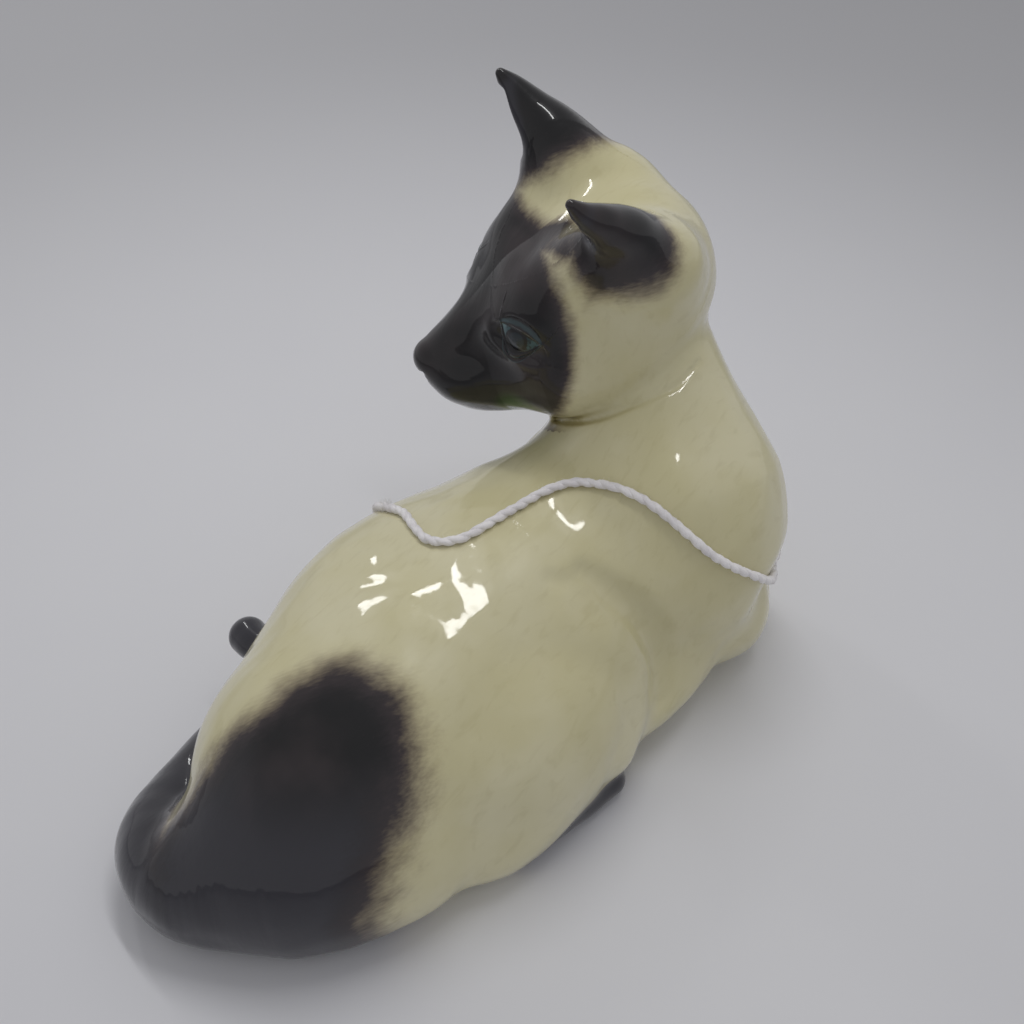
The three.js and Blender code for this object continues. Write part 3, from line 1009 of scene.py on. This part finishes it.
def even_steps(points, step):
    """The same line with its points one step apart."""
    lengths = np.concatenate([[0], np.cumsum(np.linalg.norm(np.diff(points, axis=0), axis=1))])
    where = np.linspace(0, lengths[-1], max(2, round(lengths[-1] / step) + 1))
    return np.stack([np.interp(where, lengths, points[:, i]) for i in range(3)], 1), where


def frames(line):
    """Two directions across the line at each of its points, turned as little as possible along it."""
    tangents = np.gradient(line, axis=0)
    tangents /= np.linalg.norm(tangents, axis=1, keepdims=True)
    across = np.cross(tangents[0], (0.3, 0.2, 1.0))
    first = []
    for t in tangents:
        across = across - t * (across @ t)
        across /= np.linalg.norm(across)
        first.append(across)
    first = np.array(first)
    return first, np.cross(tangents, first)


def tube(line, radii, sides):
    """Points and triangles of a closed round tube about a line."""
    a, b = frames(line)
    angle = np.arange(sides) * 2 * np.pi / sides
    ring = a[:, None] * np.cos(angle)[:, None] + b[:, None] * np.sin(angle)[:, None]
    points = (line[:, None] + ring * np.asarray(radii)[:, None, None]).reshape(-1, 3)
    n = len(line)
    i, j = np.meshgrid(np.arange(n - 1), np.arange(sides), indexing="ij")
    p, q = i * sides + j, i * sides + (j + 1) % sides
    quads = np.stack([p, q, q + sides, p + sides], -1).reshape(-1, 4)
    triangles = [quads[:, [0, 1, 2]], quads[:, [0, 2, 3]]]
    points = np.concatenate([points, line[[0, -1]]])
    k = np.arange(sides)
    last = (n - 1) * sides
    triangles.append(np.stack([(k + 1) % sides, k, np.full(sides, n * sides)], 1))
    triangles.append(np.stack([last + k, last + (k + 1) % sides, np.full(sides, n * sides + 1)], 1))
    return points, np.concatenate(triangles)


def joined(parts):
    """Several meshes as one."""
    points, triangles, count = [], [], 0
    for p, t in parts:
        points.append(p)
        triangles.append(t + count)
        count += len(p)
    return np.concatenate(points), np.concatenate(triangles)


def twisted(line, where, random):
    """Two soft strands twisted round each other along a line."""
    a, b = frames(line)
    parts = []
    for strand in range(2):
        turn = 2 * np.pi * where / TWIST_PITCH + np.pi * strand + 0.35 * np.sin(where * 0.31 + strand)
        out = STRAND_OFFSET * (np.cos(turn)[:, None] * a + np.sin(turn)[:, None] * b)
        swell = 1 + 0.1 * np.sin(where * 0.9 + 2 * strand) + 0.05 * random.standard_normal(len(where))
        parts.append(tube(line + out, STRAND_RADIUS * swell, 14))
    return joined(parts)


def stray_fibres(line, count, random, reach=2.1):
    """Fine fibres that stand off the yarn, bent, each a thin tube."""
    a, b = frames(line)
    parts = []
    for _ in range(count):
        i = random.integers(2, len(line) - 3)
        turn = random.uniform(0, 2 * np.pi)
        out = np.cos(turn) * a[i] + np.sin(turn) * b[i]
        along = (line[i + 1] - line[i - 1]) * random.uniform(-1.2, 1.2)
        start = line[i] + out * STRAND_OFFSET * 1.6
        length = random.uniform(0.5, reach - 0.6)
        bend = random.standard_normal(3) * 0.25
        t = np.linspace(0, 1, 5)[:, None]
        path = start + out * length * t * 0.6 + along * t * 0.9 + bend * t * t
        parts.append(tube(path, np.linspace(0.035, 0.015, 5), 3))
    return joined(parts)


def string_line():
    """The string's centreline, resting on the glaze."""
    line, _ = even_steps(curve_through(STRING_ROUTE, 12), 0.8)
    line = settle(cat, line.astype(np.float32), level=STRING_DIAMETER * 0.42, rounds=4, most=2.0)
    return even_steps(line.astype(float), 0.45)


def cotton_piece(name, mesh, material, nodes=()):
    piece = mesh_object(name, *mesh, None, [material])
    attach(piece, "root")
    if nodes:
        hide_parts(*nodes)
    return piece


def knot_mesh(random):
    """A small overhand knot between the string's two ends, just clear of them, with two short tails."""
    turn = np.linspace(0, 2 * np.pi, 90)
    trefoil = (
        np.sin(turn) + 2 * np.sin(2 * turn),
        np.cos(turn) - 2 * np.cos(2 * turn),
        -1.2 * np.sin(3 * turn),
    )
    loop = np.stack(trefoil, 1)
    out = unit((-0.94, 0.33, 0.06))
    across = unit(np.cross(out, (0, 0, 1)))
    axes = np.stack([across, np.cross(out, across), out], 0)
    loop = KNOT_CENTRE + loop * 0.82 @ axes
    parts = [tube(loop, np.full(len(loop), 0.8), 12)]
    for side, drop in ((-1, 5.5), (1, 4.0)):
        start = KNOT_CENTRE + side * 1.5 * across
        path = curve_through(
            [start, start + (-1.4, side * 1.5, -drop * 0.35), start + (-1.2, side * 3.2, -drop)], 10
        )
        path = settle(cat, path.astype(np.float32), level=1.3, rounds=3, most=1.0).astype(float)
        path, where = even_steps(path, 0.4)
        parts.append(twisted(path, where, random))
    return joined(parts)


def make_string():
    random = np.random.default_rng(7)
    material = cotton()
    line, where = string_line()
    string = cotton_piece("twisted_string", twisted(line, where, random), material, ["tag_string"])
    knot = cotton_piece("tied_knot", knot_mesh(random), material, ["string_knot"])
    frayed = line[np.linalg.norm(line - FRAYED, axis=1) < 4]
    fibres = joined([stray_fibres(line, 2600, random), stray_fibres(frayed, 150, random, reach=4.2)])
    fuzz = cotton_piece("string_fuzz", fibres, material)


# ---------------------------------------------------------------------------- camera, light, floor


def make_camera():
    azimuth, elevation = np.radians(41), np.radians(42)
    level = np.cos(elevation)
    back = Vector((np.sin(azimuth) * level, -np.cos(azimuth) * level, np.sin(elevation)))
    target = Vector((np.array((-16, 38, 40)) + ORIGIN) * MM)
    data = bpy.data.cameras.new("camera")
    data.sensor_width = 36
    data.lens = 18 / np.tan(np.radians(25))
    data.clip_start = 0.01
    camera = bpy.data.objects.new("camera", data)
    camera.location = target + back * 0.3
    camera.rotation_mode = "QUATERNION"
    camera.rotation_quaternion = (-back).to_track_quat("-Z", "Y")
    bpy.context.scene.collection.objects.link(camera)
    bpy.context.scene.camera = camera


def area_light(name, start, end, width, power):
    """A rectangular soft light along the line from start to end, facing the figurine."""
    start, end = Vector(start), Vector(end)
    middle = (start + end) / 2
    along = (end - start).normalized()
    backward = (middle - Vector((0, 0.02, 0.05))).normalized()
    backward = (backward - along * backward.dot(along)).normalized()
    data = bpy.data.lights.new(name, "AREA")
    data.shape = "RECTANGLE"
    data.size, data.size_y = (end - start).length, width
    data.energy = power
    light = bpy.data.objects.new(name, data)
    axes = Matrix((along, backward.cross(along), backward)).transposed()
    light.matrix_world = Matrix.Translation(middle) @ axes.to_4x4()
    bpy.context.scene.collection.objects.link(light)


WINDOWS = [
    # name, start, end, width, power: each a strip of light between two places, in metres
    ("long_panel", (-0.78, 0.21, 0.60), (0.10, 0.14, 0.60), 0.13, 0.14),
    ("left_window", (-0.90, 0.25, 0.60), (-0.56, 0.14, 0.60), 0.04, 0.57),
    ("right_window", (-0.30, 0.185, 0.60), (0.15, 0.115, 0.60), 0.032, 0.85),
]


def sky():
    """A white studio all round: dimmer overhead than at the sides."""
    world = bpy.data.worlds.new("studio")
    bpy.context.scene.world = world
    world.use_nodes = True
    tree = world.node_tree
    background = tree.nodes["Background"]
    background.inputs["Color"].default_value = (0.89, 0.89, 0.91, 1)
    height = tree.nodes.new("ShaderNodeSeparateXYZ")
    tree.links.new(tree.nodes.new("ShaderNodeTexCoord").outputs["Generated"], height.inputs[0])
    strength = tree.nodes.new("ShaderNodeMapRange")
    for key, value in {"From Min": 0.0, "From Max": 0.9, "To Min": 0.58, "To Max": 0.47}.items():
        strength.inputs[key].default_value = value
    tree.links.new(height.outputs["Z"], strength.inputs["Value"])
    tree.links.new(strength.outputs["Result"], background.inputs["Strength"])


def make_light():
    for window in WINDOWS:
        area_light(*window)
    sky()
    bpy.context.scene.view_settings.view_transform = "Standard"


def make_floor():
    """A flat round sheet."""
    radius, rings, sides = 2.2, 12, 96
    points = [(0.0, 0.0, -0.0002)]
    faces = []
    for ring in range(1, rings + 1):
        reach = radius * ring / rings
        for k in range(sides):
            angle = 2 * np.pi * k / sides
            points.append((reach * np.cos(angle), reach * np.sin(angle), -0.0002))
    faces += [(0, 1 + k, 1 + (k + 1) % sides) for k in range(sides)]
    for ring in range(rings - 1):
        first, second = 1 + ring * sides, 1 + (ring + 1) * sides
        faces += [
            (first + k, second + k, second + (k + 1) % sides, first + (k + 1) % sides)
            for k in range(sides)
        ]
    mesh = bpy.data.meshes.new("floor")
    mesh.from_pydata(points, [], faces)
    mesh.materials.append(paper_white())
    floor = bpy.data.objects.new("floor", mesh)
    bpy.context.scene.collection.objects.link(floor)


# ---------------------------------------------------------------------------- build

make_camera()
make_string()

CREAM_GLAZE, SEAL_GLAZE, FOOT = glaze("cream_glaze"), glaze("seal_glaze"), bisque()
bare_foot(glazed_piece("torso_casting", 0.85, 0.4, [CREAM_GLAZE, FOOT]), 1)
glazed_piece("head_casting", 0.42, 0.12, [CREAM_GLAZE])
for part in ("left_foreleg", "right_foreleg"):
    glazed_piece(part, 0.7, 0.8, [CREAM_GLAZE])
DARK_PARTS = {"left_ear": 0.4, "right_ear": 0.4, "tail": 0.7, "left_hind_paw": 0.45, "right_hind_paw": 0.6}
for part, cell in DARK_PARTS.items():
    glazed_piece(part, cell, 0.9, [SEAL_GLAZE])

make_light()
make_floor()
